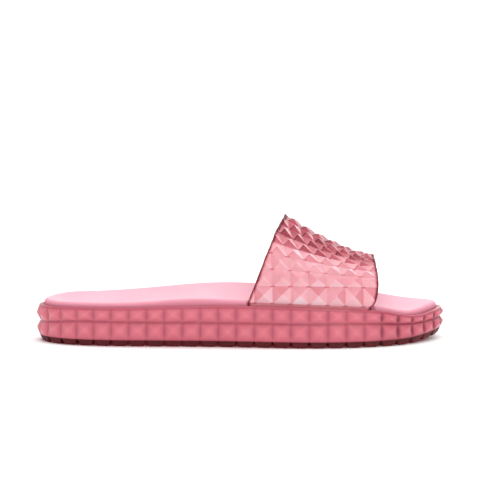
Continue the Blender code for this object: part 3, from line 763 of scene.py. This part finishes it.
def painted_facet_light(place, row):
    """Share of painted light through the facets of the studs, which lights and shades them in the
    colour. Each stud has a rear, a front, an upper and a lower facet. In the first row the lower ones
    are the palest, the rear ones get paler and the front ones deeper towards the toe. The next two
    rows are pale all over. Over the instep the lower ones are deep, and near the ridge all are. A
    steep sine of a sine of the stud's column, row and facet stands for chance."""
    a, b, high = stud_place(place, row)
    along_strap = np.clip(place / (last - first), 0, 1)
    over = np.clip((high - INSTEP_FROM) / INSTEP_BLEND, 0, 1)
    rear = REAR_FACET + REAR_TOE_GAIN * along_strap
    front = FRONT_FACET + FRONT_TOE_GAIN * along_strap
    across = np.where(a < 0, rear, front)
    across = across + over * (INSTEP_ACROSS - across)
    upper = UPPER_FACET + over * INSTEP_UPPER_GAIN
    lower = LOWER_FACET + over * INSTEP_LOWER_GAIN
    tone = np.where(np.abs(a) > np.abs(b), across, np.where(b > 0, upper, lower))
    pale = np.exp(-(((high * RIDGE_ROW - PALE_ROW) / PALE_ROWS_WIDE) ** 2))
    tone += pale * PALE_SHARE * (PALE_TONE - tone)
    tone += RIDGE_SHARE * np.clip((high - RIDGE_FROM) / RIDGE_BLEND, 0, 1) * (RIDGE_TONE - tone)
    stud = np.floor(place) * COLUMN_STEP + np.floor(row) * ROW_STEP
    facet = np.where(np.abs(a) > np.abs(b), np.sign(a), 2 * np.sign(b)) * FACET_STEP
    chance = np.sin(CHANCE_SPREAD * np.sin(stud + facet))
    tone += (CHANCE - PALE_CHANCE_LOSS * pale) * chance
    return np.where((row > 0) & (row < STUD_ROWS), np.maximum(tone, DEEPEST), MARGIN_TONE)


GLINT = 0.70
CREST_SLOPE = 2.2
CREST_DROP = 0.35
WEAKEST_CREST = 0.15
DARK_CREST = -0.28
DARK_CROSSING = -0.35
CROSSING_REACH = 0.18
DARK_EDGE = 1.1
DARK_EDGE_WIDTH = 0.0020


def painted_crest_glint(place, row, to_edge):
    """Painted light that a crest catches: most on the one from a tip down towards the toe, none on the
    others, and less than none, which is painted shade, on the one from a tip down towards the heel,
    in the valley's crossings and along the trimmed edges. A crest's strength grows in a straight line
    with its height on the foot, between a weakest one and all of it."""
    a, b, high = stud_place(place, row)
    strong = np.clip(CREST_SLOPE * high - CREST_DROP, WEAKEST_CREST, 1)
    near = 0.01
    glint = np.where((np.abs(a + b) < near) & (a > -near), GLINT * strong, 0)
    glint = np.where((np.abs(a - b) < near) & (a < -near), DARK_CREST * strong, glint)
    crossing = (np.abs(np.abs(b) - 1) < near) & (np.abs(np.abs(a) - 1) < CROSSING_REACH)
    glint = np.where(crossing, DARK_CROSSING, glint)
    return glint - DARK_EDGE * np.clip(1 - to_edge / DARK_EDGE_WIDTH, 0, 1)


strap_row = np.arange(-STUD_STEPS, (STUD_ROWS + 1) * STUD_STEPS + 1) / STUD_STEPS
rear_place, front_place = (strap_places(x, strap_row)[:, None] for x in strap_ends(strap_row))
low, high = math.floor(rear_place.min()), math.ceil(front_place.max())
even_place = np.arange(low * STUD_STEPS, high * STUD_STEPS + 1) / STUD_STEPS
strap_place = np.clip(even_place, rear_place, front_place)
rows, columns = strap_place.shape
flat_place, flat_row = strap_place.ravel(), np.repeat(strap_row, columns)
held = (flat_row >= 0) & (flat_row <= STUD_ROWS)
from_middle = np.maximum(np.abs(2 * (flat_place % 1.0) - 1), np.abs(2 * (flat_row % 1.0) - 1))
stud = held * (1 - from_middle)
outer = strap_surface(flat_place, flat_row, STRAP_STUD_HEIGHT * stud)
inner = strap_surface(flat_place, flat_row, np.full(len(flat_row), -STRAP_WALL))

halves = split_cells(grid_faces(rows, columns), columns - 1, STUD_STEPS)
index = np.arange(rows * columns).reshape(rows, columns)
border = np.concatenate([index[0], index[1:, -1], index[-1, -2::-1], index[-2:0:-1, 0]])
after = np.roll(border, -1)
wall = np.column_stack([border, border + rows * columns, after + rows * columns, after])
to_edge = np.minimum(strap_place - rear_place, front_place - strap_place).ravel() * strap_pitch
facet = painted_facet_light(flat_place[halves].mean(axis=1), flat_row[halves].mean(axis=1))
glint = painted_crest_glint(flat_place, flat_row, to_edge)
strap = make_mesh(
    "strap_band",
    np.vstack([outer, inner]) + HEEL,
    np.vstack([halves, halves[:, ::-1] + rows * columns]),
    wall,
    sharp=14,
    facet=np.concatenate([facet, facet, np.full(len(wall), CUT_TONE)]),
    glint=np.concatenate([glint, 0 * glint]),
)
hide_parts("strap")
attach(strap, "root")

# The same soft PVC in a thin wall, with crisper glints: paler, partly as some light passes through
# and partly as painted light. Its colour is painted light and shade facet by facet, with painted
# glints on the crests and painted dark lines in the crossings and along the trimmed edges.
band = new_material("moulded_soft_pvc_thin", strap)
place_in = add(band, "ShaderNodeTexCoord")
facet = add(band, "ShaderNodeAttribute", attribute_name="facet")
glint = add(band, "ShaderNodeAttribute", attribute_name="glint")
cloud = add(band, "ShaderNodeTexNoise", [("Vector", place_in, "Object")], Scale=120.0, Detail=3.0)
vary = add(band, "ShaderNodeMapRange", [("Value", cloud, "Fac")], To_Min=-0.12, To_Max=0.12)
depth = add(band, "ShaderNodeMath", [(0, facet, "Fac"), (1, vary, "Result")], operation="ADD")
light = add(band, "ShaderNodeMath", [(0, depth, "Value"), (1, glint, "Fac")], operation="ADD")
tone = add(
    band, "ShaderNodeValToRGB", [("Fac", light, "Value")],
    stops=[(0.0, "#7A1A2C"), (0.22, "#C04E60"), (0.48, "#EA8A97"), (0.80, "#FFC0C9"), (1.0, "#FFE0E7")],
)
matt = add(
    band, "ShaderNodeMapRange", [("Value", light, "Value")],
    From_Max=0.3, To_Min=0.55, To_Max=0.22,
)
shader = add(
    band, "ShaderNodeBsdfPrincipled", [("Base Color", tone, "Color"), ("Roughness", matt, "Result")],
    IOR=1.53, Specular_IOR_Level=0.30,
    Transmission_Weight=0.25, Subsurface_Weight=0.25, Subsurface_Scale=0.001,
)
add(band, "ShaderNodeOutputMaterial", [("Surface", shader, "BSDF")])


# Studio
# A sheet of white paper lies flat under the sandal and curves up behind it, with a wide softbox
# overhead, one in front and one behind. It lies a tenth of a millimetre low, so that it never
# coincides with the tread's flats.
SWEEP_FRONT = -3.0
SWEEP_BACK = 1.6
SWEEP_RADIUS = 1.2
SWEEP_WALL = 2.0
SWEEP_HALF_WIDTH = 6.0
SWEEP_DROP = 0.0001

# The flat, the bend and the wall take these shares of the sheet's rows
FLAT_SHARE = 0.40
BEND_SHARE = 0.35
WALL_SHARE = 0.25

run = np.linspace(0, 1, 49)
bend = np.clip((run - FLAT_SHARE) / BEND_SHARE, 0, 1) * math.pi / 2
wall_part = np.clip(run - FLAT_SHARE - BEND_SHARE, 0, 1) / WALL_SHARE
depth = np.interp(run, [0, FLAT_SHARE], [SWEEP_FRONT, SWEEP_BACK]) + SWEEP_RADIUS * np.sin(bend)
height = SWEEP_RADIUS * (1 - np.cos(bend)) + SWEEP_WALL * wall_part - SWEEP_DROP
across = np.linspace(-SWEEP_HALF_WIDTH, SWEEP_HALF_WIDTH, 13)
sweep_grid = np.broadcast_arrays(across[None, :], depth[:, None], height[:, None])
sweep_points = np.stack(sweep_grid, axis=-1)
sweep = make_mesh("studio_sweep", sweep_points, grid_faces(len(run), len(across)))

# White paper, plain, with painted light in its emission: it glows a little all round the sandal,
# thinning the sandal's contact shadow there, and faint rose under it, painted light that stands for
# light coming down through the jelly. That part is an oval of the half length and half width here,
# its middle a little nearer the heel than the origin.
FOOTPRINT_HALF_LENGTH = 0.128
FOOTPRINT_HALF_WIDTH = 0.046
FOOTPRINT_BACK = 0.006

paper = new_material("white_paper", sweep)
place_in = add(paper, "ShaderNodeTexCoord")
cloud = add(paper, "ShaderNodeTexNoise", [("Vector", place_in, "Object")], Scale=3.0)
tone = add(
    paper, "ShaderNodeValToRGB", [("Fac", cloud, "Fac")],
    stops=[(0.0, "#F7F7F7"), (1.0, "#FAFAFA")],
)
footprint = add(
    paper, "ShaderNodeMapping", [("Vector", place_in, "Object")],
    Scale=(1 / FOOTPRINT_HALF_LENGTH, 1 / FOOTPRINT_HALF_WIDTH, 0.0),
    Location=(FOOTPRINT_BACK / FOOTPRINT_HALF_LENGTH, 0.0, 0.0),
)
away = add(paper, "ShaderNodeVectorMath", [(0, footprint, "Vector")], operation="LENGTH")
past = add(paper, "ShaderNodeMapRange", [("Value", away, "Value")], From_Max=1.25)
glow = add(
    paper, "ShaderNodeValToRGB", [("Fac", past, "Result")],
    stops=[(0.0, "#AC3647"), (0.76, "#AC3647"), (0.85, "#FFFFFF"), (1.0, "#FFFFFF")],
)
shader = add(
    paper, "ShaderNodeBsdfPrincipled", [("Base Color", tone, "Color"), ("Emission Color", glow, "Color")],
    Roughness=0.9, Emission_Strength=0.20,
)
add(paper, "ShaderNodeOutputMaterial", [("Surface", shader, "BSDF")])


SANDAL_MIDDLE = 0.03


def softbox(name, position, size, power):
    """Square area light that points at the sandal's middle."""
    light = bpy.data.lights.new(name, "AREA")
    light.size, light.energy = size, power
    lamp = bpy.data.objects.new(name, light)
    bpy.context.collection.objects.link(lamp)
    lamp.location = position
    towards = Vector((0, 0, SANDAL_MIDDLE)) - Vector(position)
    lamp.rotation_euler = towards.to_track_quat("-Z", "Y").to_euler()


softbox("softbox_top", (0.0, -0.2, 1.6), 1.4, 12.0)
softbox("softbox_front", (0.5, -1.6, 0.9), 0.8, 5.0)
softbox("softbox_back", (0.6, 1.3, 0.8), 0.8, 5.0)

world = bpy.data.worlds.new("studio_world")
world.use_nodes = True
world.node_tree.nodes["Background"].inputs["Color"].default_value = (1.0, 1.0, 1.0, 1.0)
world.node_tree.nodes["Background"].inputs["Strength"].default_value = 0.70
bpy.context.scene.world = world
bpy.context.scene.view_settings.view_transform = "Standard"


# Camera
# It stands 1.5 m from the sandal's lateral side and 7 degrees above it, and aims a little over the
# sandal, which lies below the middle of the photo.
CAMERA_ELEVATION = math.radians(7.0)
CAMERA_DISTANCE = 1.5
TARGET_HEIGHT = 0.035
AIM_OVER = 0.0287
AIM_BACK = 0.0006
LENS = 175.7
SENSOR = 36.0

target = Vector((0.0, 0.0, TARGET_HEIGHT))
above = Vector((0.0, math.sin(CAMERA_ELEVATION), math.cos(CAMERA_ELEVATION)))
aim = target + AIM_OVER * above - Vector((AIM_BACK, 0.0, 0.0))
lens = bpy.data.cameras.new("camera")
lens.lens, lens.sensor_width = LENS, SENSOR
camera = bpy.data.objects.new("camera", lens)
bpy.context.collection.objects.link(camera)
away_from_side = Vector((0.0, -math.cos(CAMERA_ELEVATION), math.sin(CAMERA_ELEVATION)))
camera.location = target + CAMERA_DISTANCE * away_from_side
camera.rotation_euler = (aim - camera.location).to_track_quat("-Z", "Y").to_euler()
bpy.context.scene.camera = camera
